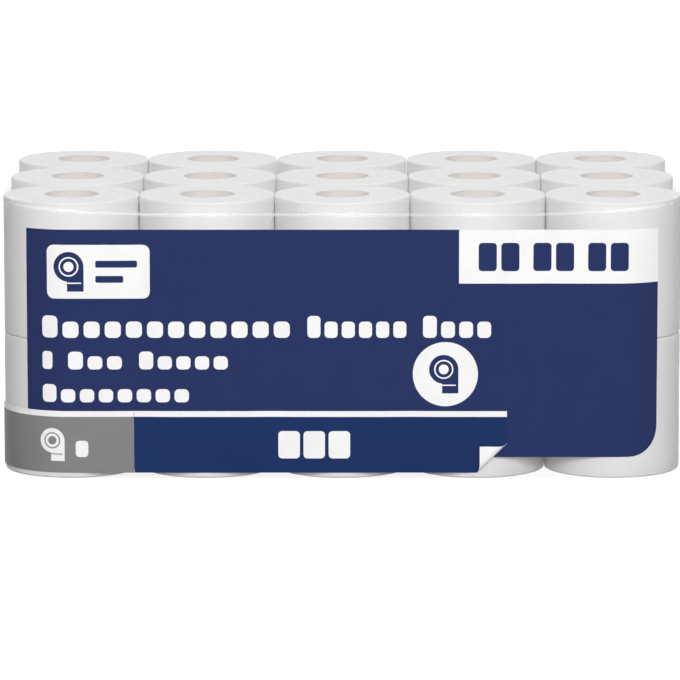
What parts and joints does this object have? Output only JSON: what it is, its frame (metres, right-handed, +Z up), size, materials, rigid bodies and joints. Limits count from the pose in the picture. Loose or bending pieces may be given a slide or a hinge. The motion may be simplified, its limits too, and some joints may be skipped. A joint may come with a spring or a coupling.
{
  "type": "toilet paper roll pack",
  "caption": "Film-wrapped block of toilet paper rolls standing in rows and two layers, with folded film ends, printed labels on the front and one label corner folded over.",
  "frame": {"origin": "middle of the pack's foot, on the surface that it stands on", "axes": "+X along the pack, to the right of someone who faces the labels; -Y out of the labelled front; +Z up, along the rolls' cores"},
  "size_m": [0.4926, 0.3003, 0.201],
  "materials": {
    "tissue": "soft matte tissue",
    "core_card": "plain pale card",
    "clear_film": "clear glossy film",
    "navy_print": "printed label, satin",
    "white_print": "printed label, satin",
    "grey_print": "printed label, satin",
    "blue_print": "printed label, satin"
  },
  "bodies": {
    "root": {"lower_roll_front_1": "tissue", "lower_roll_front_2": "tissue", "lower_roll_front_3": "tissue", "lower_roll_front_4": "tissue", "lower_roll_front_5": "tissue", "lower_roll_middle_1": "tissue", "lower_roll_middle_2": "tissue", "lower_roll_middle_3": "tissue", "lower_roll_middle_4": "tissue", "lower_roll_middle_5": "tissue", "lower_roll_back_1": "tissue", "lower_roll_back_2": "tissue", "lower_roll_back_3": "tissue", "lower_roll_back_4": "tissue", "lower_roll_back_5": "tissue", "upper_roll_front_1": "tissue", "upper_roll_front_2": "tissue", "upper_roll_front_3": "tissue", "upper_roll_front_4": "tissue", "upper_roll_front_5": "tissue", "upper_roll_middle_1": "tissue", "upper_roll_middle_2": "tissue", "upper_roll_middle_3": "tissue", "upper_roll_middle_4": "tissue", "upper_roll_middle_5": "tissue", "upper_roll_back_1": "tissue", "upper_roll_back_2": "tissue", "upper_roll_back_3": "tissue", "upper_roll_back_4": "tissue", "upper_roll_back_5": "tissue", "core_pair_front_1": "core_card", "core_pair_front_2": "core_card", "core_pair_front_3": "core_card", "core_pair_front_4": "core_card", "core_pair_front_5": "core_card", "core_pair_middle_1": "core_card", "core_pair_middle_2": "core_card", "core_pair_middle_3": "core_card", "core_pair_middle_4": "core_card", "core_pair_middle_5": "core_card", "core_pair_back_1": "core_card", "core_pair_back_2": "core_card", "core_pair_back_3": "core_card", "core_pair_back_4": "core_card", "core_pair_back_5": "core_card", "film_wrap": "clear_film", "front_label": "navy_print", "number_label": "white_print", "round_label": "white_print", "count_label": "grey_print", "sheet_strip": "blue_print"}
  },
  "joints": []
}
